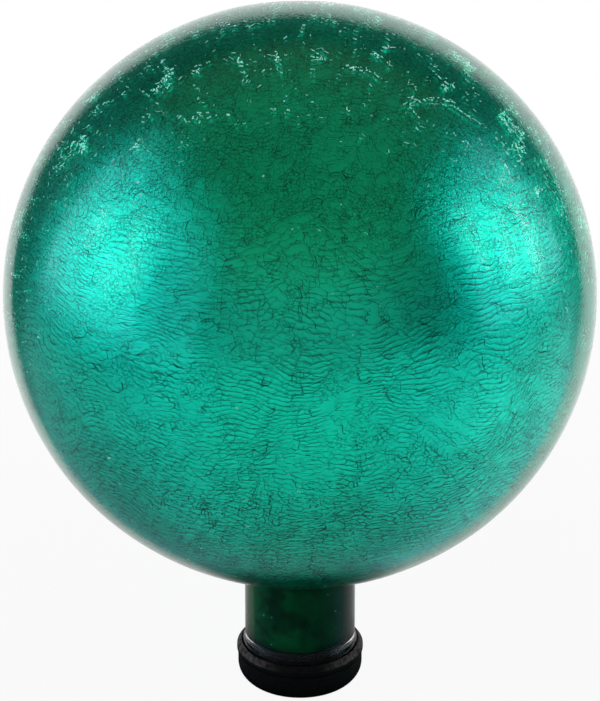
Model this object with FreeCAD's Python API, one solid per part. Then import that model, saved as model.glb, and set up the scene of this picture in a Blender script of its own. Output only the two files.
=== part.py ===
# A garden ball to look into: a hollow blown ball of glass, one piece with its short neck, a rubber bung
# pressed into the neck's mouth, and a moulded rubber cap pushed over the neck's end, which pulls off downwards.
# Millimetres, +Z up. The origin is the middle of the cap's flat foot.
import FreeCAD, Part

import os
from math import sqrt

# The glass: the neck's length runs from its end to the level of the ball's lowest point.
ball_diameter = 254.0
ball_wall = 3.2
neck_diameter = 49.5
neck_wall = 3.2
neck_length = 55.5
root_round = 5.0
flare = 1.0
flare_height = 6.0
neck_end_bevel = 0.8

# The bung: it rises above the cap's lip, so it shows as a dark band behind the glass.
bung_fit = 0.05
bung_above_lip = 4.4
bung_taper = 1.2
bung_top_bevel = 0.8
bung_wall = 7.0
bung_top_thickness = 6.0

# The cap: walls are measured outwards from its bore.
cap_fit = 0.2
cap_height = 18.4
cap_floor = 4.0
cap_wall = 2.05
cap_lip_wall = 2.55
cap_lip_height = 4.5
cap_bottom_round = 7.5
cap_edge_bevel = 0.3
groove_width = 0.9
groove_depth = 0.55
lip_bevel_height = 2.4
lip_bevel_share = 0.75
lip_mouth_share = 0.15

# Radii and heights that follow from these.
ball_radius = ball_diameter / 2
cavity_radius = ball_radius - ball_wall
neck_radius = neck_diameter / 2
neck_bore_radius = neck_radius - neck_wall
inner_root_round = root_round + neck_wall
neck_end_z = cap_floor
ball_centre_z = neck_end_z + neck_length + ball_radius
flare_bottom_z = cap_height
flare_top_z = flare_bottom_z + flare_height
foot_radius = neck_radius + flare
foot_bore_radius = neck_bore_radius + flare
cap_bore_radius = foot_radius + cap_fit

axis_foot = FreeCAD.Vector(0, 0, 0)
up = FreeCAD.Vector(0, 0, 1)


def at(radius, height):
    """A point of an outline, in the plane of X and Z."""
    return FreeCAD.Vector(radius, 0, height)


def arc(start, centre, end):
    """The edge from start to end about centre, the short way round."""
    outwards = (start - centre) + (end - centre)
    middle = centre + outwards * ((start - centre).Length / outwards.Length)
    return Part.Arc(start, middle, end).toShape()


def turned(steps):
    """The solid swept about Z by a closed outline. Each step is a point that a straight side runs to, or a
    pair: the centre of an arc, and the point that the arc ends at. The first step is a point."""
    edges = []
    here = steps[0]
    for step in steps[1:] + steps[:1]:
        if isinstance(step, tuple):
            centre, end = step
            edges.append(arc(here, centre, end))
        else:
            end = step
            edges.append(Part.LineSegment(here, end).toShape())
        here = end
    return Part.Face(Part.Wire(edges)).revolve(axis_foot, up, 360)


def root_of_neck(ball, neck, hollow):
    """The hollow round that joins a ball to a neck: where it leaves the ball, its centre, where it meets the
    neck."""
    centre_radius = neck + hollow
    drop = sqrt((ball + hollow) ** 2 - centre_radius ** 2)
    centre = at(centre_radius, ball_centre_z - drop)
    ball_centre = at(0, ball_centre_z)
    on_ball = centre + (ball_centre - centre) * (hollow / (ball + hollow))
    return on_ball, centre, at(neck, centre.z)


def flare_steps(neck, down):
    """The two equal arcs by which a wall of the neck swings out to its foot."""
    bend = (flare ** 2 + flare_height ** 2) / (4 * flare)
    top = at(neck, flare_top_z)
    middle = at(neck + flare / 2, flare_top_z - flare_height / 2)
    bottom = at(neck + flare, flare_bottom_z)
    top_centre = at(neck + bend, flare_top_z)
    bottom_centre = at(neck + flare - bend, flare_bottom_z)
    if down:
        return [top, (top_centre, middle), (bottom_centre, bottom)]
    return [bottom, (bottom_centre, middle), (top_centre, top)]


def glass_globe():
    """Ball and neck as one blown wall, with the cavity open at the neck's end."""
    ball_centre = at(0, ball_centre_z)
    outer_top = at(0, ball_centre_z + ball_radius)
    inner_top = at(0, ball_centre_z + cavity_radius)
    outer_on_ball, outer_centre, outer_on_neck = root_of_neck(ball_radius, neck_radius, root_round)
    inner_on_ball, inner_centre, inner_on_neck = root_of_neck(cavity_radius, neck_bore_radius, inner_root_round)
    bevel_z = neck_end_z + neck_end_bevel
    outline = [outer_top, (ball_centre, outer_on_ball), (outer_centre, outer_on_neck)]
    outline += flare_steps(neck_radius, down=True)
    outline += [
        at(foot_radius, bevel_z),
        at(foot_radius - neck_end_bevel, neck_end_z),
        at(foot_bore_radius + neck_end_bevel, neck_end_z),
        at(foot_bore_radius, bevel_z),
    ]
    outline += flare_steps(neck_bore_radius, down=False)
    outline += [inner_on_neck, (inner_centre, inner_on_ball), (ball_centre, inner_top)]
    return turned(outline)


def neck_plug():
    """A tapered bung, hollow below, flush with the neck's end."""
    bottom_radius = foot_bore_radius - bung_fit
    top_radius = bottom_radius - bung_taper
    top_z = cap_height + bung_above_lip
    hollow_radius = bottom_radius - bung_wall
    hollow_top_z = top_z - bung_top_thickness
    return turned([
        at(0, top_z),
        at(top_radius - bung_top_bevel, top_z),
        at(top_radius, top_z - bung_top_bevel),
        at(bottom_radius, neck_end_z + neck_end_bevel),
        at(bottom_radius, neck_end_z),
        at(hollow_radius, neck_end_z),
        at(hollow_radius, hollow_top_z),
        at(0, hollow_top_z),
    ])


def neck_cap():
    """A cup with a rounded bowl, a groove round it and a thicker, bevelled lip above the groove."""
    body_radius = cap_bore_radius + cap_wall
    lip_radius = cap_bore_radius + cap_lip_wall
    groove_radius = body_radius - groove_depth
    bevel = cap_lip_wall * lip_bevel_share
    mouth = cap_lip_wall * lip_mouth_share
    edge = cap_edge_bevel
    lip_bottom_z = cap_height - cap_lip_height
    body_top_z = lip_bottom_z - groove_width
    foot_edge = at(body_radius - cap_bottom_round, 0)
    bowl_centre = at(body_radius - cap_bottom_round, cap_bottom_round)
    return turned([
        at(0, 0),
        foot_edge,
        (bowl_centre, at(body_radius, cap_bottom_round)),
        at(body_radius, body_top_z - edge),
        at(body_radius - edge, body_top_z),
        at(groove_radius, body_top_z),
        at(groove_radius, lip_bottom_z),
        at(lip_radius - edge, lip_bottom_z),
        at(lip_radius, lip_bottom_z + edge),
        at(lip_radius, cap_height - lip_bevel_height),
        at(lip_radius - bevel, cap_height),
        at(cap_bore_radius + mouth, cap_height),
        at(cap_bore_radius, cap_height - mouth),
        at(cap_bore_radius, cap_floor + neck_end_bevel),
        at(cap_bore_radius - neck_end_bevel, cap_floor),
        at(0, cap_floor),
    ])


pieces = {
    "glass_globe": glass_globe(),
    "neck_plug": neck_plug(),
    "neck_cap": neck_cap(),
}

os.makedirs("parts", exist_ok=True)
for name, shape in pieces.items():
    shape.exportStep(f"parts/{name}.step")
    print(name, "solids", len(shape.Solids), "volume", round(shape.Volume), "valid", shape.isValid())
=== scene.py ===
from math import atan, cos, pi, radians, sin, sqrt

import bpy
import numpy as np
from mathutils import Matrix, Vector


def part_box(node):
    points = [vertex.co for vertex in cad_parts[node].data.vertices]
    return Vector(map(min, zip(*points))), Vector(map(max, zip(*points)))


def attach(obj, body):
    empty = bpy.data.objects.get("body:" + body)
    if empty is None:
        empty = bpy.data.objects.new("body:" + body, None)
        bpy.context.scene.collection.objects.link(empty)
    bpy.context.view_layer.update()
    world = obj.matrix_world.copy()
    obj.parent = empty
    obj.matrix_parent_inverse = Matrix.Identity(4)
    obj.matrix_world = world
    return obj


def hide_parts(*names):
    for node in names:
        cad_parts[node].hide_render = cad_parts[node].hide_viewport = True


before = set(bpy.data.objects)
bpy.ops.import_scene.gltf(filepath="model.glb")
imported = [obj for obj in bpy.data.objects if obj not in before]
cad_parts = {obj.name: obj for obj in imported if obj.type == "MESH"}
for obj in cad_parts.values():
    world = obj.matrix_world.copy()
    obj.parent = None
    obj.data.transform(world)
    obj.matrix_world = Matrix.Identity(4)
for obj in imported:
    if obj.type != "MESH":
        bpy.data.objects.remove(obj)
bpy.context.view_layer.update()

print("frame loaded:", ", ".join(sorted(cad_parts)))


# Camera first, at the photograph's angle.

camera = {
    "ballCentre": (0.0, 0.0, 0.1865),
    "distance": 1.25,          # from the ball's centre, metres
    "elevation": 23.0,         # degrees above the horizon
    "lens": 149.5,             # millimetres, on a sensor whose long side is the picture's height
    "sensor": 36.0,
    "clip": (0.05, 50.0),
    "pictureHeight": 701.0,    # pixels
    "ballAboveMiddle": 55.2,   # pixels from the picture's middle up to the ball's centre
}


def placeCamera(s):
    # The camera stands off the ball's centre along the elevation, and looks a little below that centre, by
    # the angle that puts the ball as far above the picture's middle as it is in the photograph.
    lift = radians(s["elevation"])
    focalPixels = s["lens"] / s["sensor"] * s["pictureHeight"]
    lookDown = lift + atan(s["ballAboveMiddle"] / focalPixels)
    data = bpy.data.cameras.new("photoCamera")
    data.lens = s["lens"]
    data.sensor_width = s["sensor"]
    data.clip_start, data.clip_end = s["clip"]
    obj = bpy.data.objects.new("photoCamera", data)
    x, y, z = s["ballCentre"]
    obj.location = (x, y - s["distance"] * cos(lift), z + s["distance"] * sin(lift))
    obj.rotation_euler = (pi / 2 - lookDown, 0.0, 0.0)
    bpy.context.collection.objects.link(obj)
    bpy.context.scene.camera = obj


placeCamera(camera)


# Helpers for surfaces.

def joinArcs(*runs):
    # Runs of (radius, height) points end to end, each run's first point left out where it repeats the last
    # one.
    points = [runs[0]]
    for run in runs[1:]:
        points.append(run[1:] if np.allclose(run[0], points[-1][-1], atol=1e-7) else run)
    return np.concatenate(points)


def arcRun(centre, size, fromAngle, toAngle, count):
    # Points of an arc, or of an ellipse where size is a pair: centre + size * (cos, sin) of even angles.
    angles = np.linspace(fromAngle, toAngle, count)
    across, up = size if isinstance(size, tuple) else (size, size)
    return np.stack([centre[0] + across * np.cos(angles), centre[1] + up * np.sin(angles)], axis=1)


def straightRun(start, end, count):
    # Evenly spaced points from start to end.
    share = np.linspace(0.0, 1.0, count)[:, None]
    return np.array(start) * (1.0 - share) + np.array(end) * share


def makePiece(name, points, faces, smooth=True):
    mesh = bpy.data.meshes.new(name)
    mesh.from_pydata(points, [], faces)
    mesh.polygons.foreach_set("use_smooth", np.full(len(mesh.polygons), smooth))
    mesh.update()
    obj = bpy.data.objects.new(name, mesh)
    bpy.context.collection.objects.link(obj)
    return obj


def turnProfile(name, profile, turns, shift=None):
    # A profile whose two ends lie on the axis, carried round it: x = radius * cos(turn), y = radius *
    # sin(turn), z = height. The ends are single points. shift moves all points at once.
    turn = np.arange(turns) * (2.0 * pi / turns)
    radius, height = profile[1:-1, 0], profile[1:-1, 1]
    x, y = radius[:, None] * np.cos(turn), radius[:, None] * np.sin(turn)
    rings = np.stack([x, y, np.repeat(height[:, None], turns, axis=1)], axis=2).reshape(-1, 3)
    points = np.concatenate([[[0.0, 0.0, profile[0, 1]]], rings, [[0.0, 0.0, profile[-1, 1]]]])
    if shift is not None:
        points = points + shift(points)
    here = np.arange(turns)
    following = np.roll(here, -1)
    ring = 1 + np.arange(len(radius) - 1)[:, None] * turns
    quads = np.stack([ring + here, ring + turns + here, ring + turns + following, ring + following], axis=2)
    last = 1 + (len(radius) - 1) * turns
    end = len(points) - 1
    firstFan = np.stack([np.zeros(turns, int), 1 + here, 1 + following], axis=1)
    lastFan = np.stack([last + here, np.full(turns, end), last + following], axis=1)
    quads = quads.reshape(-1, 4)
    corner = points[quads]
    volume = np.einsum("ij,ij->i", corner[:, 0], np.cross(corner[:, 1], corner[:, 2])).sum()
    volume += np.einsum("ij,ij->i", corner[:, 0], np.cross(corner[:, 2], corner[:, 3])).sum()
    if volume < 0:  # turned inside out, so every face is reversed
        quads, firstFan, lastFan = quads[:, ::-1], firstFan[:, ::-1], lastFan[:, ::-1]
    return makePiece(name, points, quads.tolist() + firstFan.tolist() + lastFan.tolist())


ripples = {
    "waves": 24,
    "lengths": (0.7, 1.5),     # of the waves, against the given one
    "calm": 1.6,               # divides their sum, so that it seldom leaves -1 to 1
}


def ripple(points, length, seed, slope=False):
    # Smooth noise between about -1 and 1: the sum of plane sine waves of random heading and phase, whose
    # lengths lie about the given one. Its slope is the sum of their cosines times their headings.
    dice = np.random.default_rng(seed)
    waves = ripples["waves"]
    heading = dice.normal(size=(3, waves))
    heading /= np.linalg.norm(heading, axis=0)
    pace = heading * (2.0 * pi / (length * dice.uniform(*ripples["lengths"], waves)))
    phase = dice.uniform(0.0, 2.0 * pi, waves)
    share = sqrt(2.0 / waves) / ripples["calm"]
    level = np.sin(points @ pace + phase).sum(axis=1) * share
    if slope:
        return level, (np.cos(points @ pace + phase) @ pace.T) * share
    return level


def rise(value, start, over):
    # 0 up to the start, 1 from that much past it, and straight between.
    return np.clip((value - start) / over, 0.0, 1.0)


def blend(limits, share):
    # The first limit where the share is 0 or less, the second where it is 1 or more, and straight between.
    return limits[0] + (limits[1] - limits[0]) * np.clip(share, 0.0, 1.0)


# The glass: a blown ball and neck, with the cavity open at the neck's end.

globeLow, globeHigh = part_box("glass_globe")
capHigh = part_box("neck_cap")[1]
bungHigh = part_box("neck_plug")[1]

globe = {
    "flatness": 0.0014,        # how much lower the ball is than a true sphere, at each pole
    "wall": 0.0031,
    "neckRadius": 0.02475,
    "neckWall": 0.0032,
    "flare": 0.001,            # how far the neck swings out at its foot
    "flareHeight": 0.0036,
    "rootRound": 0.005,        # hollow round where the neck leaves the ball
    "innerRootRound": 0.0082,
    "endRound": 0.0008,
    "neckTop": 0.0628,         # where the neck's own finish begins, going down
    "silverEnd": 0.0692,       # where the film's silver ends, higher up
    "turns": 256,
    "rings": 190,
    "innerRings": 90,
    "rootRings": 10,
    "neckRings": (10, 8),      # outside and inside
    "flareRings": 6,
    "footRings": 4,
    "endRings": 5,
    "waviness": 0.00012,       # how far the blown surface sinks below a true one
    "waveLength": 0.035,
    "waveSeed": 5,
    "waveRise": 0.05,          # the height above the cap over which it sets in
}
globe["radius"] = (globeHigh[0] - globeLow[0]) / 2
globe["centre"] = globeHigh[2] - globe["radius"]
globe["across"] = globe["radius"]
globe["up"] = globe["radius"] - globe["flatness"]
globe["innerAcross"] = globe["across"] - globe["wall"]
globe["innerUp"] = globe["up"] - globe["wall"]
neckBore = globe["neckRadius"] - globe["neckWall"]
flareLow = capHigh[2]
flareHigh = flareLow + globe["flareHeight"]


def ballAndRoot(across, up, neck, hollow, rings):
    # The ball's outline from the top pole down, an ellipse of the angle from the equator, then the hollow
    # round that is tangent to the ball's underside and to the neck. Near its lowest point the ellipse is
    # taken for the circle of radius across squared over up.
    under = across ** 2 / up
    underCentre = globe["centre"] - up + under
    roundCentre = (neck + hollow, underCentre - sqrt((under + hollow) ** 2 - (neck + hollow) ** 2))
    meets = under * (neck + hollow) / (under + hollow)
    lowAngle = -np.arccos(meets / across)
    ball = arcRun((0.0, globe["centre"]), (across, up), pi / 2, lowAngle, rings)
    startAngle = np.arccos(-(neck + hollow) / (under + hollow))
    root = arcRun(roundCentre, hollow, startAngle, pi, globe["rootRings"])
    return joinArcs(ball, root[1:])


def flareRun(neck):
    # Two equal arcs that swing a wall of the neck out to its foot, from the top down.
    out, tall = globe["flare"], globe["flareHeight"]
    bend = (out ** 2 + tall ** 2) / (4 * out)
    swing = np.arcsin(tall / (2 * bend))
    upper = arcRun((neck + bend, flareHigh), bend, pi, pi + swing, globe["flareRings"])
    lower = arcRun((neck + out - bend, flareLow), bend, swing, 0.0, globe["flareRings"])
    return joinArcs(upper, lower)


def glassProfile():
    # Down the outside, round the fire-polished end, and up the inside.
    neck, foot, end = globe["neckRadius"], globe["footRings"], globe["endRings"]
    footOut = neck + globe["flare"]
    footIn = neckBore + globe["flare"]
    low, soft = globeLow[2], globe["endRound"]
    outside = ballAndRoot(globe["across"], globe["up"], neck, globe["rootRound"], globe["rings"])
    inside = ballAndRoot(globe["innerAcross"], globe["innerUp"], neckBore, globe["innerRootRound"],
                         globe["innerRings"])
    return joinArcs(
        outside,
        straightRun(outside[-1], (neck, flareHigh), globe["neckRings"][0]),
        flareRun(neck),
        straightRun((footOut, flareLow), (footOut, low + soft), foot),
        arcRun((footOut - soft, low + soft), soft, 0.0, -pi / 2, end),
        arcRun((footIn + soft, low + soft), soft, -pi / 2, -pi, end),
        straightRun((footIn, low + soft), (footIn, flareLow), foot),
        flareRun(neckBore)[::-1],
        straightRun((neckBore, flareHigh), inside[-1], globe["neckRings"][1]),
        inside[::-1],
    )


def blownUnevenly(points):
    # Each point sinks towards the ball's centre by the waviness times a smooth noise between 0 and 1.
    centre = np.array([0.0, 0.0, globe["centre"]])
    inward = centre - points
    inward /= np.linalg.norm(inward, axis=1)[:, None]
    onBall = rise(points[:, 2], capHigh[2], globe["waveRise"])
    depth = 0.5 + 0.5 * ripple(points, globe["waveLength"], globe["waveSeed"])
    return inward * (np.clip(depth, 0.0, 1.0) * onBall * globe["waviness"])[:, None]


def faceHeights(obj):
    # The height of the middle of every face.
    middle = np.empty(len(obj.data.polygons) * 3)
    obj.data.polygons.foreach_get("center", middle)
    return middle[2::3]


def splitAtRoot(obj, top):
    # Faces below top take the piece's second material, and those of the flare and below it the third.
    height = faceHeights(obj)
    obj.data.polygons.foreach_set("material_index", (height < top).astype(int) + (height < flareHigh))


shell = turnProfile("clear_glass", glassProfile(), globe["turns"], blownUnevenly)
splitAtRoot(shell, globe["neckTop"])
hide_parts("glass_globe")
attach(shell, "globe")
print("glass:", len(shell.data.polygons), "faces")


# The film: silvered and lacquered in the ball, lacquered alone in the neck.

film = {
    "bite": 0.0001,       # how far its face lies inside the glass, so that no air parts them
    "thickness": 0.0003,
    "turns": 256,
    "rings": 130,
    "neckRings": 12,
    "aboveBung": 0.0003,
}


def filmWall(inset, bottom):
    # The inside of the glass, moved in by inset, from the top pole down to a height in the neck.
    wall = ballAndRoot(globe["innerAcross"] - inset, globe["innerUp"] - inset, neckBore - inset,
                       globe["innerRootRound"] + inset, film["rings"])
    return joinArcs(wall, straightRun(wall[-1], (neckBore - inset, bottom), film["neckRings"]))


filmBottom = bungHigh[2] + film["aboveBung"]
face = filmWall(-film["bite"], filmBottom)
back = filmWall(film["thickness"] - film["bite"], filmBottom)
lining = turnProfile("mirror_film", joinArcs(face, back[::-1]), film["turns"])
splitAtRoot(lining, globe["silverEnd"])
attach(lining, "globe")
print("film:", len(lining.data.polygons), "faces")


# The crackle: fine cracks held inside the clear wall, in level courses that wave, meet and part again, so
# that flat lens shaped cells lie between them. In upright zones and above, they are stirred up into small
# cells. Smooth islands lie among them, with the courses bent round their edges. Above, strings of flakes,
# painted bright as glints, run between broad fields.

crackle = {
    "pitch": 0.0019,           # from one course to the next
    "step": 0.0014,            # along a course
    "pinch": 0.80,             # how much of the pitch two courses lose where they meet
    "drift": 0.0050, "driftLength": 0.050,      # the wander that neighbouring courses share
    "wave": 0.0007, "waveLength": 0.012,
    "shake": 0.00034, "shakeLength": 0.0038,    # each course's own
    "apart": 0.0137, "apartHeading": (1.0, 0.6, 1.7),    # how far apart two courses read the shake's noise
    "stir": 0.0008, "stirLength": 0.0050,       # in all directions, above and in the zones of cells
    "above": (0.22, 0.40),     # the share of the radius up where that sets in, and over how much of it
    "zoneLength": 0.030, "zoneLevel": 0.50, "zoneEdge": 0.25, "zoneSquat": (2.2, 2.2, 0.6),
    "islandLength": 0.0115, "islandLevel": 0.72, "islandSquat": (1.0, 1.0, 1.5),
    "islandMove": 0.004,       # the farthest that a point is moved out of an island
    "meets": (0.22, 0.60),     # share of the places where two courses meet: on level ground, among cells
    "gaps": (0.02, 0.24),      # share of a course that is missing, at least and at most
    "gapLength": 0.012,
    "lengths": (0.0003, 0.0035),   # of a crack; shorter and longer ones are left out
    "neckClearance": 0.0335,   # no crack comes nearer to the axis than this at the bottom
    "depth": (0.00030, 0.00045),   # of a crack's upper edge below the glass
    "reach": (0.00010, 0.00030),   # how far it goes down from there
    "width": (0.00009, 0.00017),
    "uneven": (0.75, 1.3), "unevenLength": 0.009, "unevenSwing": 0.6,    # the widths, from place to place
    "taper": (0.6, 1.0),       # width of a crack's one end against the other
    "wideBelow": 2.4,          # how wide the cracks are near the bottom, against the middle
    "wideFrom": (0.02, 0.38),  # the share of the radius down where that sets in, and over how much of it
    "lean": 0.5,               # radians, either way
    "openLength": 0.007,       # main cracks lie at the edges of low islands and where they opened most
    "openLevel": 1.05,
    "mainBelow": 0.2,          # share of the radius up, below which an island's edge is a main crack
    "mainReach": (0.00025, 0.00055),
    "mainWidth": (0.00020, 0.00032),
    "fields": 420,             # broad fields, with strings of flakes between them
    "fieldBend": 0.02, "fieldBendLength": 0.010,    # radians that their borders wander
    "stringWidth": 0.0007,
    "strings": (0.01, 0.95),   # share of a string's cracks that show as bright flakes: in front, at the back
    "flakes": (0.004, 0.07),   # and of the cracks elsewhere
    "flakesUp": (-0.15, 0.40),     # the share of the radius up, and to the back, where the flakes set in, and
    "flakesBack": (-0.66, 0.35),   # over how much of it
    "patch": (0.55, 0.75), "patchLimits": (0.1, 1.6), "patchLength": 0.016,    # and in patches
    "flakeShare": (0.35, 0.9), # of the crack's length
    "flakeTip": (-0.35, 0.35), # rise of a flake's end, against half its length
    "flakeWidth": (0.00004, 0.00008),
    "flakeReach": (0.00060, 0.00160),
    "flakeLean": 0.4,          # of the lean of others
    "pieces": 6,
}


def unit(vectors):
    return vectors / np.linalg.norm(vectors, axis=-1, keepdims=True)


def onGlass(heading, depth):
    # The point under the glass along a heading from the ball's centre: the ellipsoid's radius there,
    # 1 / sqrt((x^2 + y^2) / across^2 + z^2 / up^2), less the depth.
    flat = heading[:, 0] ** 2 + heading[:, 1] ** 2
    level = flat / globe["across"] ** 2 + heading[:, 2] ** 2 / globe["up"] ** 2
    return heading * (1.0 / np.sqrt(level) - depth)[:, None] + np.array([0.0, 0.0, globe["centre"]])


def stirVector(points, length, seed):
    # Three smooth noises, one for each axis.
    return np.stack([ripple(points, length, seed + k) for k in range(3)], axis=1)


def crackCourses(s):
    # The net before it is bent: circles of latitude a pitch apart, each in even steps from a random start.
    # Returns the points, and for each one the next along its course and the nearest on the course above.
    dice = np.random.default_rng(11)
    count = int(round(pi * globe["across"] / s["pitch"]))
    latitude = (np.arange(1, count) / count - 0.5) * pi
    steps = np.maximum(np.round(2.0 * pi * globe["across"] * np.cos(latitude) / s["step"]), 6).astype(int)
    first = np.concatenate([[0], np.cumsum(steps)[:-1]])
    course = np.repeat(np.arange(len(steps)), steps)
    place = np.arange(steps.sum()) - first[course]
    start = dice.uniform(0.0, 1.0, len(steps))
    turn = 2.0 * pi * (place / steps[course] + start[course])
    lift = latitude[course]
    points = np.stack([np.cos(turn) * np.cos(lift), np.sin(turn) * np.cos(lift), np.sin(lift)], axis=1)
    following = first[course] + (place + 1) % steps[course]
    higher = np.minimum(course + 1, len(steps) - 1)
    share = (turn / (2.0 * pi) - start[higher]) % 1.0
    over = first[higher] + np.round(share * steps[higher]).astype(int) % steps[higher]
    return points * globe["across"], following, over, course


def crackNet(s):
    # The courses wander together by smooth noises, and each shakes by its own. Where two meet, the lower
    # one is pulled up and the upper one down, by half the pitch times the pinch. A point that comes to lie
    # in an island is moved down the island's slope to its edge: (level - edge) * slope / |slope|^2, twice.
    # Returns the ends' headings, the pairs of ends, and which pairs are main cracks.
    dice = np.random.default_rng(12)
    points, following, over, course = crackCourses(s)
    above = rise(points[:, 2] / globe["across"], *s["above"])
    zone = ripple(points * s["zoneSquat"], s["zoneLength"], 32)
    cellular = np.maximum(rise(zone, s["zoneLevel"], s["zoneEdge"]), above)
    meets = blend(s["meets"], cellular)
    meeting = (dice.uniform(0.0, 1.0, len(points)) < meets) & (course < course.max())
    pull = np.where(meeting, 0.5, 0.0)
    np.subtract.at(pull, over[meeting], 0.5)
    lift = np.clip(pull, -0.5, 0.5) * s["pitch"] * s["pinch"]
    drift = s["drift"] * ripple(points, s["driftLength"], 31)
    lift += drift + s["wave"] * ripple(points, s["waveLength"], 35)
    own = points + (course * s["apart"])[:, None] * s["apartHeading"]
    lift += s["shake"] * ripple(own, s["shakeLength"], 36)
    stirred = (s["stir"] * cellular)[:, None] * stirVector(points, s["stirLength"], 41)
    points = unit(points + stirred + lift[:, None] * [0.0, 0.0, 1.0]) * globe["across"]

    squat = np.array(s["islandSquat"])
    inside = np.zeros(len(points), bool)
    for turn in range(2):
        level, slope = ripple(points * squat, s["islandLength"], 33, slope=True)
        slope = slope * squat
        off = np.maximum(level - s["islandLevel"], 0.0)
        inside |= off > 0.0
        move = (off / np.maximum((slope ** 2).sum(axis=1), 1.0))[:, None] * slope
        far = np.linalg.norm(move, axis=1)
        move *= np.minimum(1.0, s["islandMove"] / np.maximum(far, 1e-9))[:, None]
        points = unit(points - move) * globe["across"]

    alongPairs = np.stack([np.arange(len(points)), following], axis=1)
    joinPairs = np.stack([np.arange(len(points)), over], axis=1)
    fade = 0.5 + 0.5 * ripple(points, s["gapLength"], 37)
    keepAlong = dice.uniform(0.0, 1.0, len(points)) > blend(s["gaps"], fade)
    pairs = np.concatenate([alongPairs[keepAlong], joinPairs[meeting]])

    length = np.linalg.norm(points[pairs[:, 0]] - points[pairs[:, 1]], axis=1)
    middle = (points[pairs[:, 0]] + points[pairs[:, 1]]) / 2
    fromAxis = np.hypot(middle[:, 0], middle[:, 1])
    keep = (length > s["lengths"][0]) & (length < s["lengths"][1])
    keep &= (middle[:, 2] > 0) | (fromAxis > s["neckClearance"])
    pairs, middle = pairs[keep], middle[keep]
    edge = inside[pairs[:, 0]] | inside[pairs[:, 1]]
    opened = ripple(middle, s["openLength"], 38)
    low = middle[:, 2] < s["mainBelow"] * globe["across"]
    main = (edge & low & (opened > 0.0)) | (opened > s["openLevel"])
    return unit(points), pairs, main


def betweenFields(headings, s):
    # How far each heading lies from the border of its field, in metres on the glass: half the difference
    # of its angles from the two nearest of some scattered seeds, times the radius. It is worked out in
    # parts, to save memory.
    dice = np.random.default_rng(14)
    seeds = unit(dice.normal(size=(s["fields"], 3))).astype(np.float32)
    bend = s["fieldBend"] * stirVector(headings * globe["across"], s["fieldBendLength"], 44)
    far = []
    for part in np.array_split(unit(headings + bend).astype(np.float32), 8):
        nearest = np.arccos(np.clip(np.partition(part @ seeds.T, -2, axis=1)[:, -2:], -1.0, 1.0))
        far.append(np.abs(nearest[:, 0] - nearest[:, 1]) / 2 * globe["across"])
    return np.concatenate(far)


def crackBlades(s, ends, pairs, main):
    # Each crack is a thin wedge: two upper edges half a width to either side of its line, and a lower edge
    # that lies down by its reach and leans. Some are flakes: shorter, deeper and upright, which show only
    # where the glass turns away. All ends of all wedges are worked out at once.
    dice = np.random.default_rng(13)

    def draw(limits, count=len(pairs)):
        return dice.uniform(limits[0], limits[1], count)

    depth = draw(s["depth"], len(ends))
    first, second = (onGlass(ends[pairs[:, k]], depth[pairs[:, k]]) for k in (0, 1))
    out = unit(ends[pairs[:, 0]] + ends[pairs[:, 1]])
    place = out * globe["across"]
    patchLevel, patchSwing = s["patch"]
    patch = np.clip(patchLevel + patchSwing * ripple(place, s["patchLength"], 51), *s["patchLimits"])
    back = rise(out[:, 2], *s["flakesUp"]) * rise(out[:, 1], *s["flakesBack"])
    often = blend(s["flakes"], back) * patch
    inString = betweenFields(out, s) < s["stringWidth"]
    often = np.where(inString, blend(s["strings"], back) * patch ** 0.5, often)
    flake = (draw((0.0, 1.0)) < often) & ~main

    shrink = np.where(flake, draw(s["flakeShare"]), 1.0)[:, None]
    centre, half = (first + second) / 2, (second - first) / 2 * shrink
    tip = np.where(flake, draw(s["flakeTip"]), 0.0)[:, None] * np.linalg.norm(half, axis=1, keepdims=True)
    first, second = centre - half - out * tip, centre + half + out * tip
    along = unit(second - first)
    side = unit(np.cross(along, out))
    scale = blend((1.0, s["wideBelow"]), rise(-out[:, 2], *s["wideFrom"]))
    scale *= blend(s["uneven"], 0.5 + s["unevenSwing"] * ripple(place, s["unevenLength"], 52))
    width = np.where(main, draw(s["mainWidth"]), draw(s["width"]) * scale)
    width = np.where(flake, draw(s["flakeWidth"]), width)
    reach = np.where(main, draw(s["mainReach"]), draw(s["reach"]))
    reach = np.where(flake, draw(s["flakeReach"]), reach)
    lean = draw((-s["lean"], s["lean"])) * np.where(flake, s["flakeLean"], 1.0)
    down = (side * np.sin(lean)[:, None] - out * np.cos(lean)[:, None]) * reach[:, None]
    across = side * (width / 2)[:, None]
    taper = draw(s["taper"])[:, None]
    points = np.stack([
        first + across * taper, first - across * taper, first + down * taper,
        second + across, second - across, second + down
    ], axis=1)
    return points, flake


def makeCracks(s):
    # The wedges as closed pieces, dealt out by their bearing round the axis. The upper faces, the walls and
    # the flakes are three materials.
    ends, pairs, main = crackNet(s)
    points, flake = crackBlades(s, ends, pairs, main)
    bearing = np.arctan2(points[:, 0, 1], points[:, 0, 0])
    share = np.floor((bearing + pi) / (2.0 * pi) * s["pieces"]).astype(int).clip(0, s["pieces"] - 1)
    made = []
    for k in range(s["pieces"]):
        own = points[share == k]
        base = np.arange(len(own))[:, None] * 6
        quads = np.concatenate([base + [0, 1, 4, 3], base + [1, 2, 5, 4], base + [2, 0, 3, 5]])
        tips = np.concatenate([base + [0, 2, 1], base + [3, 4, 5]])
        obj = makePiece(f"cracks_{k + 1}", own.reshape(-1, 3), quads.tolist() + tips.tolist(), smooth=False)
        bright = flake[share == k]
        index = np.concatenate([np.zeros(len(own), int), np.where(np.tile(bright, 4), 2, 1)])
        obj.data.polygons.foreach_set("material_index", index)
        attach(obj, "globe")
        made.append(obj)
        print(f"cracks_{k + 1}: {len(own)} wedges")
    print("cracks:", len(pairs), "wedges,", int(main.sum()), "main,", int(flake.sum()), "flakes")
    return made


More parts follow.
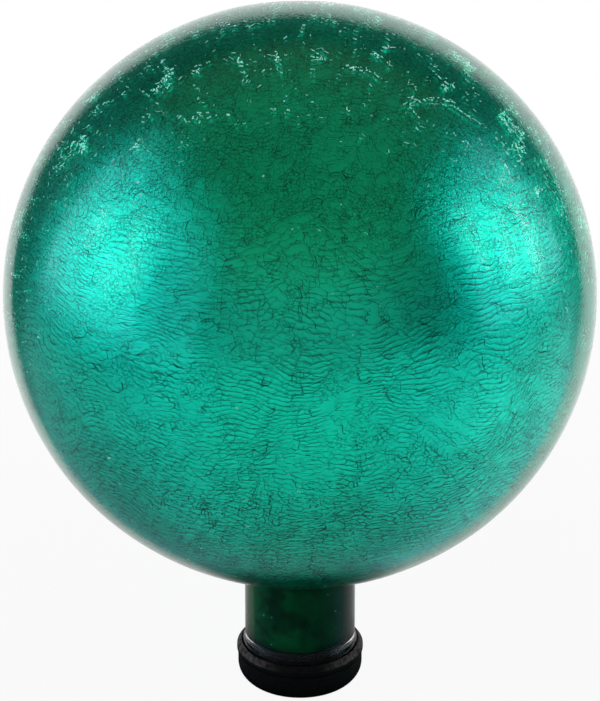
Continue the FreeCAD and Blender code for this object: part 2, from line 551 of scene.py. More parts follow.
cracks = makeCracks(crackle)


# The cap: a cup with a rounded bowl, a groove and a bevelled lip, its edges softened.

cap = {
    "wall": 0.00205,
    "lipWall": 0.00255,
    "lipHeight": 0.0045,
    "grooveWidth": 0.0009,
    "grooveDepth": 0.00055,
    "bowlRound": 0.0075,
    "bevelHeight": 0.0024,
    "bevelShare": 0.75,
    "mouthShare": 0.15,
    "floor": 0.004,
    "floorBevel": 0.0008,
    "edge": 0.00032,           # how far the softening of a whole corner reaches
    "softShares": (1.0, 0.4, 0.25, 0.25, 1.0, 1.0, 1.0, 0.5, 0.5, 0.5, 0.5, 1.0),    # bowl's top to floor
    "softRings": 5,
    "footRings": 6,
    "bowlRings": 20,
    "turns": 256,
}


def softCorners(points, rounds, count):
    # An outline whose corners are softened: each corner is replaced by a quadratic curve
    # (1 - t)^2 * start + 2 t (1 - t) * corner + t^2 * end, which starts and ends a round's length from it.
    points = np.asarray(points)
    before = np.roll(points, 1, axis=0) - points
    after = np.roll(points, -1, axis=0) - points
    reach = np.array(rounds)[:, None]
    start = points + before / np.linalg.norm(before, axis=1)[:, None] * reach
    end = points + after / np.linalg.norm(after, axis=1)[:, None] * reach
    t = np.linspace(0.0, 1.0, count)[None, :, None]
    curve = (1 - t) ** 2 * start[:, None] + 2 * t * (1 - t) * points[:, None] + t ** 2 * end[:, None]
    return np.concatenate([points[:1], curve[1:-1].reshape(-1, 2), points[-1:]])


def capProfile(s):
    # From the middle of the foot outwards and up, over the lip and down the bore to the floor.
    bore = capHigh[0] - s["lipWall"]
    body = bore + s["wall"]
    lip = capHigh[0]
    top = capHigh[2]
    lipBottom = top - s["lipHeight"]
    bodyTop = lipBottom - s["grooveWidth"]
    foot = body - s["bowlRound"]
    bowl = arcRun((foot, s["bowlRound"]), s["bowlRound"], -pi / 2, 0.0, s["bowlRings"])
    corners = [
        (body, bodyTop), (body - s["grooveDepth"], bodyTop), (body - s["grooveDepth"], lipBottom),
        (lip, lipBottom), (lip, top - s["bevelHeight"]), (lip - s["lipWall"] * s["bevelShare"], top),
        (bore + s["lipWall"] * s["mouthShare"], top), (bore, top - s["lipWall"] * s["mouthShare"]),
        (bore, s["floor"] + s["floorBevel"]), (bore - s["floorBevel"], s["floor"]),
    ]
    outline = [bowl[-1]] + corners + [(0.0, s["floor"])]
    soft = softCorners(outline, [s["edge"] * share for share in s["softShares"]], s["softRings"])
    return joinArcs(straightRun((0.0, 0.0), bowl[0], s["footRings"]), bowl, soft)


rubberCap = turnProfile("rubber_cap", capProfile(cap), cap["turns"])
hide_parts("neck_cap")
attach(rubberCap, "cap")
print("cap:", len(rubberCap.data.polygons), "faces")


# Shader helpers: a value that is a socket is linked, any other is set on the socket.

def feed(tree, value, socket):
    if isinstance(value, bpy.types.NodeSocket):
        tree.links.new(value, socket)
    else:
        socket.default_value = value


def maths(tree, operation, *values, clamp=False):
    node = tree.nodes.new("ShaderNodeMath")
    node.operation = operation
    node.use_clamp = clamp
    for value, socket in zip(values, node.inputs):
        feed(tree, value, socket)
    return node.outputs[0]


def times(tree, value, *others):
    for other in others:
        value = maths(tree, "MULTIPLY", value, other)
    return value


def plus(tree, value, *others):
    for other in others:
        value = maths(tree, "ADD", value, other)
    return value


def vectorMaths(tree, operation, *values, scale=None):
    node = tree.nodes.new("ShaderNodeVectorMath")
    node.operation = operation
    for value, socket in zip(values, node.inputs):
        feed(tree, value, socket)
    if scale is not None:
        feed(tree, scale, node.inputs["Scale"])
    return node.outputs["Value"] if operation in ("DOT_PRODUCT", "LENGTH") else node.outputs["Vector"]


def ramp(tree, value, fromLow, fromHigh, toLow=0.0, toHigh=1.0, smooth=True):
    node = tree.nodes.new("ShaderNodeMapRange")
    node.interpolation_type = "SMOOTHSTEP" if smooth else "LINEAR"
    for part, socket in zip((value, fromLow, fromHigh, toLow, toHigh), node.inputs):
        feed(tree, part, socket)
    return node.outputs["Result"]


def blendColours(tree, share, first, second):
    node = tree.nodes.new("ShaderNodeMix")
    node.data_type = "RGBA"
    feed(tree, share, node.inputs[0])
    feed(tree, first, node.inputs[6])
    feed(tree, second, node.inputs[7])
    return node.outputs[2]


def noise(tree, place, scale, detail, roughness=0.5, kind="Fac"):
    node = tree.nodes.new("ShaderNodeTexNoise")
    feed(tree, place, node.inputs["Vector"])
    for name, value in (("Scale", scale), ("Detail", detail), ("Roughness", roughness)):
        feed(tree, value, node.inputs[name])
    return node.outputs[kind]


def cells(tree, place, scale, feature="DISTANCE_TO_EDGE"):
    node = tree.nodes.new("ShaderNodeTexVoronoi")
    node.feature = feature
    feed(tree, place, node.inputs["Vector"])
    feed(tree, scale, node.inputs["Scale"])
    return node.outputs["Distance"]


def bump(tree, height, strength, distance):
    node = tree.nodes.new("ShaderNodeBump")
    feed(tree, strength, node.inputs["Strength"])
    feed(tree, distance, node.inputs["Distance"])
    feed(tree, height, node.inputs["Height"])
    return node.outputs["Normal"]


def objectPlace(tree):
    return tree.nodes.new("ShaderNodeTexCoord").outputs["Object"]


def splitPlace(tree, place):
    node = tree.nodes.new("ShaderNodeSeparateXYZ")
    tree.links.new(place, node.inputs[0])
    return node.outputs


def newMaterial(name):
    material = bpy.data.materials.new(name)
    material.use_nodes = True
    tree = material.node_tree
    shader = next(n for n in tree.nodes if n.type == "BSDF_PRINCIPLED")
    return material, tree, shader


def joinShaders(tree, first, second, share=None):
    # What the material shows: the second shader over the first by a share, or both added where none is
    # given.
    node = tree.nodes.new("ShaderNodeAddShader" if share is None else "ShaderNodeMixShader")
    if share is not None:
        tree.links.new(share, node.inputs[0])
    tree.links.new(first, node.inputs[-2])
    tree.links.new(second, node.inputs[-1])
    out = next(n for n in tree.nodes if n.type == "OUTPUT_MATERIAL")
    tree.links.new(node.outputs["Shader"], out.inputs["Surface"])


def dress(obj, *materials):
    # The faces keep the numbers of their materials.
    index = np.empty(len(obj.data.polygons), int)
    obj.data.polygons.foreach_get("material_index", index)
    obj.data.materials.clear()
    for material in materials:
        obj.data.materials.append(material)
    obj.data.polygons.foreach_set("material_index", np.minimum(index, len(materials) - 1))


def newGroup(name, inputs, outputs):
    # A node group whose first input is a place; its other inputs and all its outputs are single values.
    tree = bpy.data.node_groups.new(name, "ShaderNodeTree")
    for k, socket in enumerate(inputs):
        kind = "NodeSocketFloat" if k else "NodeSocketVector"
        tree.interface.new_socket(socket, in_out="INPUT", socket_type=kind)
    for socket in outputs:
        tree.interface.new_socket(socket, in_out="OUTPUT", socket_type="NodeSocketFloat")
    given = tree.nodes.new("NodeGroupInput").outputs
    result = tree.nodes.new("NodeGroupOutput").inputs
    return tree, given, result


def placeGroup(tree, group, **given):
    node = tree.nodes.new("ShaderNodeGroup")
    node.node_tree = group
    for name, value in given.items():
        feed(tree, value, node.inputs[name])
    return node.outputs


# The finest net of cracks. A noise is given by its scale, detail and roughness, and edges are the two values
# between which a mask goes from 0 to 1.

fineNet = {
    "slowNoise": (26.0, 1.0), "slow": 0.022,            # metres that the level lines wander
    "quickNoise": (170.0, 2.0, 0.6), "quick": 0.0032,
    "lightShift": 0.30,        # share of the pitch from a line to the light beside it
    "wanderNoise": (90.0, 3.0, 0.6), "wander": 0.008,   # of the cells' borders
    "cellSquat": (1.0, 1.0, 1.7),
    "cellsInPitch": 1.15,
    "cellLineShare": 0.5,      # width of their borders against the level lines
    "cellLight": (0.17, 0.08), # how far inside a border the light lies, and its half width
    "zoneNoise": (38.0, 2.0), "zoneSquat": (1.6, 1.6, 0.7), "zoneEdges": (0.56, 0.47),
    "levelEdges": (0.72, 0.32),    # share of the radius up; there are only cells above
    "islandNoise": (62.0, 2.0, 0.4), "islandEdges": (0.60, 0.57),
    "fadeNoise": (110.0, 2.0), "fadeEdges": (0.36, 0.60), "faintest": 0.45,
}


def makeFineNet(s):
    # The same net for the glass and the film. Below, wavy level lines a pitch apart: the latitude over the
    # pitch, plus a wandering noise, and a line where the fraction of that passes one half. Among them and
    # above, the borders of small cells. Dark is 1 on a line and Light beside it, but for smooth islands.
    # Height is Light less Dark.
    tree, given, result = newGroup("fine craze", ("Place", "Pitch", "Width"), ("Dark", "Light", "Height"))
    pitch, width = given["Pitch"], given["Width"]
    place = vectorMaths(tree, "SUBTRACT", given["Place"], camera["ballCentre"])
    height = splitPlace(tree, vectorMaths(tree, "NORMALIZE", place))["Z"]
    latitude = times(tree, maths(tree, "ARCSINE", height), globe["across"])

    slow = times(tree, noise(tree, place, *s["slowNoise"]), s["slow"])
    quick = times(tree, noise(tree, place, *s["quickNoise"]), s["quick"])
    wave = maths(tree, "DIVIDE", plus(tree, latitude, slow, quick), pitch)

    def line(value):
        off = maths(tree, "ABSOLUTE", maths(tree, "SUBTRACT", maths(tree, "FRACT", value), 0.5))
        return ramp(tree, off, 0.0, width, 1.0, 0.0)

    levelDark = line(wave)
    levelLight = line(plus(tree, wave, s["lightShift"]))

    wander = noise(tree, place, *s["wanderNoise"], kind="Color")
    wander = vectorMaths(tree, "SUBTRACT", wander, (0.5, 0.5, 0.5))
    moved = vectorMaths(tree, "ADD", place, vectorMaths(tree, "SCALE", wander, scale=s["wander"]))
    squat = vectorMaths(tree, "MULTIPLY", moved, s["cellSquat"])
    border = cells(tree, squat, maths(tree, "DIVIDE", s["cellsInPitch"], pitch))
    cellDark = ramp(tree, border, 0.0, times(tree, width, s["cellLineShare"]), 1.0, 0.0)
    lightAt, lightWidth = s["cellLight"]
    inside = maths(tree, "ABSOLUTE", maths(tree, "SUBTRACT", border, lightAt))
    cellLight = ramp(tree, inside, 0.0, lightWidth, 1.0, 0.0)

    zone = noise(tree, vectorMaths(tree, "MULTIPLY", place, s["zoneSquat"]), *s["zoneNoise"])
    level = times(tree, ramp(tree, zone, *s["zoneEdges"]), ramp(tree, height, *s["levelEdges"]))
    cellular = maths(tree, "SUBTRACT", 1.0, level)
    island = ramp(tree, noise(tree, place, *s["islandNoise"]), *s["islandEdges"])
    fade = ramp(tree, noise(tree, place, *s["fadeNoise"]), *s["fadeEdges"], s["faintest"], 1.0)
    strength = times(tree, island, fade)
    dark = plus(tree, times(tree, levelDark, level), times(tree, cellDark, cellular))
    light = plus(tree, times(tree, levelLight, level), times(tree, cellLight, cellular))
    tree.links.new(times(tree, dark, strength), result["Dark"])
    tree.links.new(times(tree, light, strength), result["Light"])
    tree.links.new(maths(tree, "SUBTRACT", light, dark), result["Height"])
    return tree


fineCraze = makeFineNet(fineNet)


# Materials.

clearGlass = {
    "roughness": 0.09,
    "ior": 1.45,
    "tint": (0.30, 0.75, 0.75, 1.0),   # of what it mirrors face on; the rim still mirrors white
    "pitch": 0.0034,
    "lineWidth": 0.26,         # of the craze, against its pitch
    "dent": 0.05,
    "dentDepth": 0.0005,
}
neckGlass = {"roughness": 0.06, "ior": 1.26, "tint": (0.08, 0.22, 0.16, 1.0)}
footGlass = {"roughness": 0.07, "ior": 1.40, "tint": (0.16, 0.16, 0.16, 1.0)}


def makeClearGlass(name, s):
    # Clear glass. It isn't there for shadow rays, so the lamps reach the film behind it.
    material, tree, shader = newMaterial(name)
    shader.inputs["Base Color"].default_value = (1.0, 1.0, 1.0, 1.0)
    shader.inputs["Transmission Weight"].default_value = 1.0
    shader.inputs["Roughness"].default_value = s["roughness"]
    shader.inputs["IOR"].default_value = s["ior"]
    shader.inputs["Specular Tint"].default_value = s["tint"]
    if "dent" in s:
        craze = placeGroup(tree, fineCraze, Place=objectPlace(tree), Pitch=s["pitch"], Width=s["lineWidth"])
        tree.links.new(bump(tree, craze["Height"], s["dent"], s["dentDepth"]), shader.inputs["Normal"])
    through = tree.nodes.new("ShaderNodeBsdfTransparent").outputs["BSDF"]
    shadow = tree.nodes.new("ShaderNodeLightPath").outputs["Is Shadow Ray"]
    joinShaders(tree, shader.outputs["BSDF"], through, shadow)
    return material


mirrorFilm = {
    "colour": (0.002, 0.72, 0.46, 1.0),
    "deep": (0.001, 0.52, 0.32, 1.0),
    "line": (0.0, 0.12, 0.065, 1.0),
    # bright is a painted highlight: a lighter line beside each craze line, where the relief would catch
    # light.
    "bright": (0.006, 0.90, 0.62, 1.0),
    "roughness": 0.215,
    "cloudNoise": (22.0, 4.0, 0.6), "cloudEdges": (0.35, 0.65), "cloudShare": 0.35,
    "pitch": 0.0021,
    "lineWidth": 0.24,
    "lineShare": 0.70,
    "paintedHighlightShare": 0.32,
    "dent": 0.07,
    "dentDepth": 0.0003,
}


def makeMirrorFilm(s):
    material, tree, shader = newMaterial("silvered film")
    place = objectPlace(tree)
    cloud = ramp(tree, noise(tree, place, *s["cloudNoise"]), *s["cloudEdges"])
    colour = blendColours(tree, times(tree, cloud, s["cloudShare"]), s["colour"], s["deep"])
    craze = placeGroup(tree, fineCraze, Place=place, Pitch=s["pitch"], Width=s["lineWidth"])
    # Painted highlight beside each craze line, from the craze's Light.
    colour = blendColours(tree, times(tree, craze["Light"], s["paintedHighlightShare"]), colour, s["bright"])
    colour = blendColours(tree, times(tree, craze["Dark"], s["lineShare"]), colour, s["line"])
    tree.links.new(colour, shader.inputs["Base Color"])
    shader.inputs["Metallic"].default_value = 1.0
    shader.inputs["Roughness"].default_value = s["roughness"]
    tree.links.new(bump(tree, craze["Height"], s["dent"], s["dentDepth"]), shader.inputs["Normal"])
    return material


neckLacquer = {
    "colour": (0.001, 0.085, 0.022, 1.0),
    "deep": (0.0004, 0.016, 0.007, 1.0),
    "cloudNoise": (70.0, 4.0, 0.6), "cloudEdges": (0.34, 0.66),
    # Painted shade: the side edges and share darken the +X side, and the low edges darken it towards the
    # ball.
    "sideEdges": (0.021, -0.012), "shadedSideShare": 0.12,    # metres across the neck; the least share of colour
    "underBallShadeEdges": (0.0575, 0.0530),      # metres up
    "speck": (0.16, 0.34, 0.26, 1.0),
    "speckScale": 420.0, "speckEdges": (0.16, 0.08),
    "someNoise": (190.0, 1.0), "someEdges": (0.60, 0.66),
    # shaded is a painted shade: nearly black, in a ragged ring just under the ball.
    "shaded": (0.0, 0.0012, 0.0006, 1.0),
    "raggedNoise": (160.0, 3.0), "ragged": 0.004, "shadedEdges": (0.0578, 0.0592),
    "roughness": 0.6,
    "sheen": 0.03,
}


def makeNeckLacquer(s):
    # Dark lacquer with no silver behind it: cloudy, with specks. Painted shade darkens it towards the ball,
    # makes it nearly black in a ragged ring just under the ball, and darkens its +X side.
    material, tree, shader = newMaterial("neck lacquer")
    place = objectPlace(tree)
    parts = splitPlace(tree, place)
    cloud = ramp(tree, noise(tree, place, *s["cloudNoise"]), *s["cloudEdges"])
    # Painted shade: side darkens the +X side and low darkens it towards the ball, both mixed in with the
    # cloud.
    side = ramp(tree, parts["X"], *s["sideEdges"], s["shadedSideShare"], 1.0)
    low = ramp(tree, parts["Z"], *s["underBallShadeEdges"])
    colour = blendColours(tree, times(tree, cloud, side, low), s["deep"], s["colour"])
    speck = ramp(tree, cells(tree, place, s["speckScale"], "F1"), *s["speckEdges"])
    some = ramp(tree, noise(tree, place, *s["someNoise"]), *s["someEdges"])
    colour = blendColours(tree, times(tree, speck, some), colour, s["speck"])
    # Painted shade: a ragged, nearly black ring just under the ball.
    ragged = plus(tree, times(tree, noise(tree, place, *s["raggedNoise"]), s["ragged"]), parts["Z"])
    colour = blendColours(tree, ramp(tree, ragged, *s["shadedEdges"]), colour, s["shaded"])
    tree.links.new(colour, shader.inputs["Base Color"])
    shader.inputs["Roughness"].default_value = s["roughness"]
    shader.inputs["Specular IOR Level"].default_value = s["sheen"]
    return material


crackEdge = {
    "low": (0.0, 0.016, 0.010, 1.0),
    "high": (0.0, 0.052, 0.028, 1.0),
    "heightEdges": (0.20, 0.27),
    "roughness": 0.6,
}
crackWall = {
    # colour is a painted highlight beside the crack's dark edge
    "colour": (0.0, 0.75, 0.50, 1.0),
    "other": (0.0, 0.08, 0.05, 1.0),
}
paintedGlintFlake = {
    # these pale colours are painted glints, where real cracks would mirror the lamps
    "colour": (0.85, 0.88, 0.88, 1.0),
    "other": (0.40, 0.85, 0.78, 1.0),
    "through": 0.62,           # share of the light from behind that comes through
}
crackFaces = {"noise": (420.0, 2.0), "edges": (0.35, 0.65), "roughness": 0.3}


def makeCrackEdge(name, s):
    # The upper edge of a crack swallows the light, less so near the top of the ball.
    material, tree, shader = newMaterial(name)
    share = ramp(tree, splitPlace(tree, objectPlace(tree))["Z"], *s["heightEdges"])
    tree.links.new(blendColours(tree, share, s["low"], s["high"]), shader.inputs["Base Color"])
    shader.inputs["Roughness"].default_value = s["roughness"]
    shader.inputs["Specular IOR Level"].default_value = 0.0
    return material


def makeCrackFace(name, s):
    # The walls of cracks and the flakes, both bright or darker by turns: the bright colour is a painted
    # highlight on the walls and a painted glint on the flakes. Flakes also let through what lights them from
    # behind, added on top.
    material, tree, shader = newMaterial(name)
    shade = ramp(tree, noise(tree, objectPlace(tree), *crackFaces["noise"]), *crackFaces["edges"])
    tree.links.new(blendColours(tree, shade, s["colour"], s["other"]), shader.inputs["Base Color"])
    shader.inputs["Roughness"].default_value = crackFaces["roughness"]
    shader.inputs["Specular IOR Level"].default_value = 0.0
    if "through" in s:
        lit = tree.nodes.new("ShaderNodeBsdfTranslucent")
        lit.inputs["Color"].default_value = (s["through"], s["through"], s["through"], 1.0)
        joinShaders(tree, shader.outputs["BSDF"], lit.outputs["BSDF"])
    return material


skinOfRubber = {
    "speckle": (3.0, 0.65),    # detail and roughness; the scale is the grain
    "speckleEdges": (0.42, 0.70),
    "cloudGrainShare": 0.09,   # scale of the clouds and of the dents, against the grain
    "dentGrainShare": 0.45,
    "cloudDetail": 3.0,
    "cloudEdges": (0.30, 0.70), "darkestCloud": 0.35,
    "dentShare": 0.6,          # height of the dents against the speckle
}


def makeRubberSkin(s):
    # Moulded rubber: Shade is a fine speckle on larger clouds, Dull the clouds, Height the speckle and
    # dents.
    tree, given, result = newGroup("rubber skin", ("Place", "Grain"), ("Shade", "Dull", "Height"))
    place, grain = given["Place"], given["Grain"]
    speckle = noise(tree, place, grain, *s["speckle"])
    clouds = noise(tree, place, times(tree, grain, s["cloudGrainShare"]), s["cloudDetail"])
    dents = cells(tree, place, times(tree, grain, s["dentGrainShare"]), "F1")
    cloudy = ramp(tree, clouds, *s["cloudEdges"], s["darkestCloud"], 1.0)
    tree.links.new(times(tree, ramp(tree, speckle, *s["speckleEdges"]), cloudy), result["Shade"])
    tree.links.new(clouds, result["Dull"])
    tree.links.new(plus(tree, speckle, times(tree, dents, s["dentShare"])), result["Height"])
    return tree


rubberSkin = makeRubberSkin(skinOfRubber)

capRubber = {
    "colour": (0.0012, 0.0012, 0.0014, 1.0),
    "speck": (0.0065, 0.0065, 0.0070, 1.0),
    "grain": 900.0,
    "roughness": (0.55, 0.80),
    "dent": 0.35,
    # a painted sheen, with some wear, on the upward bevel of the lip, where the side lamps catch it
    "sheenAndWear": {                  # the bevel of the lip, mostly at its left and right
        "colour": (0.150, 0.130, 0.120, 1.0),
        "share": 0.9,
        "heightEdges": (capHigh[2] - cap["bevelHeight"] * 1.2, capHigh[2] - cap["bevelHeight"] * 0.9),
        "sideEdges": (0.008, 0.025), "middleShare": 0.02,
        "noise": (520.0, 4.0, 0.7), "edges": (0.36, 0.62), "least": 0.15,
    },
}
bungRubber = {
    "colour": (0.0016, 0.0016, 0.0018, 1.0),
    "speck": (0.006, 0.006, 0.006, 1.0),
    "grain": 700.0,
    "roughness": (0.65, 0.85),
    "dent": 0.25,
}
bothRubbers = {"dullEdges": (0.35, 0.65), "dentDepth": 0.0003, "sheen": 0.10}


def sheenAndWearShare(tree, place, s):
    # How much of the painted sheen and wear shows: on the bevel, in patches, and more to the left and right.
    parts = splitPlace(tree, place)
    bevel = ramp(tree, parts["Z"], *s["heightEdges"])
    patchy = ramp(tree, noise(tree, place, *s["noise"]), *s["edges"], s["least"], 1.0)
    broad = ramp(tree, maths(tree, "ABSOLUTE", parts["X"]), *s["sideEdges"], s["middleShare"], 1.0)
    return times(tree, bevel, patchy, broad, s["share"])


def makeRubber(name, s):
    material, tree, shader = newMaterial(name)
    place = objectPlace(tree)
    skin = placeGroup(tree, rubberSkin, Place=place, Grain=s["grain"])
    colour = blendColours(tree, skin["Shade"], s["colour"], s["speck"])
    # painted sheen and wear on the bevel
    if "sheenAndWear" in s:
        colour = blendColours(tree, sheenAndWearShare(tree, place, s["sheenAndWear"]), colour, s["sheenAndWear"]["colour"])
    tree.links.new(colour, shader.inputs["Base Color"])
    dull = ramp(tree, skin["Dull"], *bothRubbers["dullEdges"], *s["roughness"])
    tree.links.new(dull, shader.inputs["Roughness"])
    dented = bump(tree, skin["Height"], s["dent"], bothRubbers["dentDepth"])
    tree.links.new(dented, shader.inputs["Normal"])
    shader.inputs["Specular IOR Level"].default_value = bothRubbers["sheen"]
    return material


dress(shell, makeClearGlass("clear glass", clearGlass), makeClearGlass("neck glass", neckGlass),
      makeClearGlass("foot glass", footGlass))
dress(lining, makeMirrorFilm(mirrorFilm), makeNeckLacquer(neckLacquer))
crackFinishes = [makeCrackEdge("crack edge", crackEdge), makeCrackFace("crack wall", crackWall),
                 makeCrackFace("crack flake painted glint", paintedGlintFlake)]
for piece in cracks:
    dress(piece, *crackFinishes)
dress(rubberCap, makeRubber("cap rubber", capRubber))
bpy.data.objects["neck_plug"].material_slots[0].material = makeRubber("bung rubber", bungRubber)
print("materials made")


# The stage: a white floor that curves up behind, soft lamps and a grey studio all round.

stage = {
    "halfWidth": 3.0,
    "front": -2.2,
    "back": 1.6,
    "sweepRadius": 1.2,
    "height": 3.0,
    "rings": (10, 24, 6),      # of the flat run, the bend and the upright run
    "floorColour": (0.80, 0.80, 0.80, 1.0),
    "whiteShare": 0.93,        # of its look to the camera near the part that is plain white
    "whiteEdges": (0.15, 0.7), # metres from the axis; plain white beyond them
    "behind": 1.0,             # how bright the glass and film show the lit patch behind
    "patchAxis": (0.075, 0.943, -0.326),    # from the ball's centre to the middle of that patch
    "patchLimit": 0.805,       # cosine of the angle to its edge, far away
    "patchSoftness": 0.02,
    "patchGain": 0.10,         # and how much that loses for each metre nearer: gain / distance
    "frontLevel": 0.75,        # how bright they show the floor elsewhere: in front
    "frontEdges": (-0.25, -0.80),      # of the share of the distance that lies behind
    "leftLevel": 0.60,
    "rightLevel": 1.15,
    "sideEdges": (-0.9, 0.9),  # of the share of the distance that lies to the right
    "farShare": 0.50,          # what is left of the left and right levels a metre and more away
    "farEdges": (0.4, 1.2),
    "cornerLevel": 0.08,       # between behind and the sides
    "cornerEdges": (0.30, 0.62),
    "shade": 0.55,             # the share that is left under the ball
    "shadeReach": 0.34,
    "contactEdges": (0.028, 0.078), "contactShare": 0.04,    # a deeper shade close round the cap
    "frontColour": (0.50, 1.0, 1.02, 1.0),
    "sideColour": (0.50, 1.0, 1.12, 1.0),
    "colourEdges": (0.25, 0.75),
}


def makeFloor(s):
    # A sheet whose section is a flat run, a quarter circle and an upright run.
    flat, bent, upright = s["rings"]
    bend = arcRun((s["back"], s["sweepRadius"]), s["sweepRadius"], -pi / 2, 0.0, bent)
    section = joinArcs(straightRun((s["front"], 0.0), bend[0], flat), bend,
                       straightRun(bend[-1], (bend[-1][0], s["height"]), upright))
    side = np.array([-s["halfWidth"], s["halfWidth"]])
    points = np.stack([
        np.tile(side, len(section)), np.repeat(section[:, 0], 2), np.repeat(section[:, 1], 2)
    ], axis=1)
    row = np.arange(len(section) - 1) * 2
    quads = np.stack([row, row + 1, row + 3, row + 2], axis=1)
    obj = makePiece("studio_floor", points, quads.tolist())
    return obj


def seenDirectly(tree):
    return tree.nodes.new("ShaderNodeLightPath").outputs["Is Camera Ray"]


def seenMirrored(tree):
    # One for what a polished surface or the glass shows.
    path = tree.nodes.new("ShaderNodeLightPath")
    return maths(tree, "MAXIMUM", path.outputs["Is Glossy Ray"], path.outputs["Is Transmission Ray"])


def makeFloorPaper(s):
    # White paper to the camera. To the glass and film it shows levels by distance and bearing from the axis,
    # with a bright patch behind, as the photograph's ball mirrors its studio.
    material, tree, shader = newMaterial("studio paper")
    material.cycles.emission_sampling = "NONE"    # its glow is for rays that see it, so it isn't a lamp
    shader.inputs["Base Color"].default_value = s["floorColour"]
    shader.inputs["Roughness"].default_value = 0.9
    shader.inputs["Specular IOR Level"].default_value = 0.0
    glow = tree.nodes.new("ShaderNodeEmission")
    place = objectPlace(tree)
    parts = splitPlace(tree, place)
    across, along = (maths(tree, "POWER", parts[k], 2.0) for k in ("X", "Y"))
    far = maths(tree, "SQRT", plus(tree, across, along))
    ahead = maths(tree, "DIVIDE", parts["Y"], far)      # one behind the ball, less one in front of it
    aside = maths(tree, "DIVIDE", parts["X"], far)
    fromBall = vectorMaths(tree, "SUBTRACT", place, camera["ballCentre"])
    toward = vectorMaths(tree, "DOT_PRODUCT", vectorMaths(tree, "NORMALIZE", fromBall), s["patchAxis"])
    gain = maths(tree, "DIVIDE", s["patchGain"], vectorMaths(tree, "LENGTH", fromBall))
    limit, soft = s["patchLimit"], s["patchSoftness"]
    behind = ramp(tree, plus(tree, toward, gain), limit - soft, limit + soft)
    side = ramp(tree, aside, *s["sideEdges"], s["leftLevel"], s["rightLevel"])
    side = times(tree, side, ramp(tree, far, *s["farEdges"], 1.0, s["farShare"]))
    level = ramp(tree, ahead, *s["frontEdges"], side, s["frontLevel"])
    level = ramp(tree, ahead, *s["cornerEdges"], level, s["cornerLevel"])
    level = ramp(tree, behind, 0.0, 1.0, level, s["behind"], smooth=False)
    level = times(tree, level, ramp(tree, far, 0.0, s["shadeReach"], s["shade"], 1.0, smooth=False))
    level = times(tree, level, ramp(tree, far, *s["contactEdges"], s["contactShare"]))
    mirrored = seenMirrored(tree)
    cool = ramp(tree, maths(tree, "ABSOLUTE", aside), *s["colourEdges"])
    colour = blendColours(tree, cool, s["frontColour"], s["sideColour"])
    plain = maths(tree, "MAXIMUM", behind, maths(tree, "SUBTRACT", 1.0, mirrored))
    colour = blendColours(tree, plain, colour, (1.0, 1.0, 1.0, 1.0))
    tree.links.new(colour, glow.inputs["Color"])
    tree.links.new(ramp(tree, mirrored, 0.0, 1.0, 1.0, level, smooth=False), glow.inputs["Strength"])
    direct = times(tree, seenDirectly(tree), ramp(tree, far, *s["whiteEdges"], s["whiteShare"], 1.0))
    share = maths(tree, "ADD", direct, mirrored, clamp=True)
    joinShaders(tree, shader.outputs["BSDF"], glow.outputs["Emission"], share)
    return material


dress(makeFloor(stage), makeFloorPaper(stage))

coolWhite = (0.74, 0.87, 1.20)
warmWhite = (1.30, 1.0, 0.95)    # of the tubes
lamps = {    # place and size in metres, lean in degrees
    "leftSoftbox": {"place": (-1.0, -0.12, 0.56), "size": (0.90, 0.84), "lean": 0.0, "radiance": 0.80},
    "leftGlow": {"place": (-1.02, -0.45, 0.68), "size": (1.70, 1.30), "lean": 0.0, "radiance": 0.50},
    "leftTubeFront": {"place": (-0.98, -0.33, 0.64), "size": (0.04, 0.50), "lean": 28.0, "radiance": 4.0},
    "leftTubeMiddle": {"place": (-0.98, -0.22, 0.42), "size": (0.04, 0.16), "lean": 45.0, "radiance": 5.0},
    "leftTubeBack": {"place": (-0.98, 0.02, 0.54), "size": (0.04, 0.18), "lean": 10.0, "radiance": 5.0},
    "rightSoftbox": {"place": (1.0, 0.04, 0.56), "size": (0.92, 0.84), "lean": 0.0, "radiance": 1.1},
    "rightTubeFront": {"place": (0.98, -0.21, 0.66), "size": (0.04, 0.42), "lean": 11.0, "radiance": 5.0},
    "rightTubeMiddle": {"place": (0.98, -0.01, 0.48), "size": (0.05, 0.32), "lean": 22.0, "radiance": 4.0},
    "rightTubeBack": {"place": (0.98, 0.20, 0.40), "size": (0.05, 0.36), "lean": 10.0, "radiance": 4.5},
}


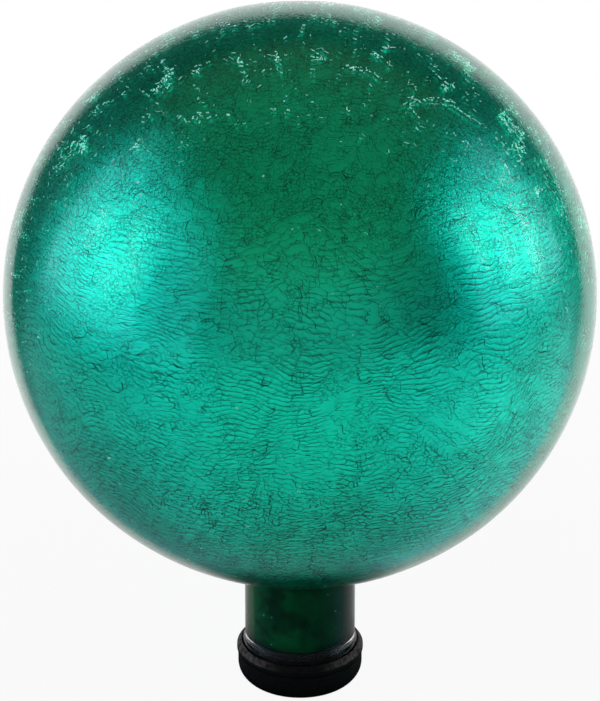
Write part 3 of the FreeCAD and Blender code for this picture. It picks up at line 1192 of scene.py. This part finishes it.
def placeLamp(name, s):
    # An area lamp square to the X axis, leaning back by some degrees; its power is radiance * pi * area.
    side = 1.0 if s["place"][0] > 0 else -1.0
    data = bpy.data.lights.new(name, "AREA")
    data.shape = "RECTANGLE"
    data.size, data.size_y = s["size"]
    data.energy = s["radiance"] * pi * data.size * data.size_y
    data.color = warmWhite if "Tube" in name else coolWhite
    obj = bpy.data.objects.new(name, data)
    obj.location = s["place"]
    obj.rotation_euler = (pi / 2, side * radians(s["lean"]), side * pi / 2)
    bpy.context.collection.objects.link(obj)


for name, lamp in lamps.items():
    placeLamp(name, lamp)

studio = {
    "front": 0.42,      # brightness of the studio on the camera's side
    "zenith": 0.25,
    "behind": 0.06,
    "sides": 0.12,
    "frontEdges": (0.5, -0.7),     # edges are shares of a heading: to the back, to either side, upwards
    "sideEdges": (0.3, 0.95),
    "topEdges": (0.45, 0.95),
    "highColour": (1.0, 1.0, 0.65, 1.0),
    "highEdges": (0.15, 0.7),
}


def makeWorld(s):
    # Brightness by direction: smooth steps from behind to the camera's side, to the sides and up to the
    # zenith, and plain white for the camera's own view.
    world = bpy.data.worlds.new("studio")
    world.use_nodes = True
    bpy.context.scene.world = world
    tree = world.node_tree
    heading = splitPlace(tree, tree.nodes.new("ShaderNodeTexCoord").outputs["Generated"])
    toFront = ramp(tree, heading["Y"], *s["frontEdges"])
    toSide = ramp(tree, maths(tree, "ABSOLUTE", heading["X"]), *s["sideEdges"])
    toTop = ramp(tree, heading["Z"], *s["topEdges"])
    level = ramp(tree, toFront, 0.0, 1.0, s["behind"], s["front"], smooth=False)
    level = ramp(tree, toSide, 0.0, 1.0, level, s["sides"], smooth=False)
    level = ramp(tree, toTop, 0.0, 1.0, level, s["zenith"], smooth=False)
    seen = seenDirectly(tree)
    level = ramp(tree, seen, 0.0, 1.0, level, 1.0, smooth=False)
    back = tree.nodes["Background"]
    high = times(tree, ramp(tree, heading["Z"], *s["highEdges"]), maths(tree, "SUBTRACT", 1.0, seen))
    colour = blendColours(tree, high, (1.0, 1.0, 1.0, 1.0), s["highColour"])
    tree.links.new(colour, back.inputs["Color"])
    tree.links.new(level, back.inputs["Strength"])


makeWorld(studio)
bpy.context.scene.view_settings.view_transform = "Standard"
print("stage, lamps and studio made")
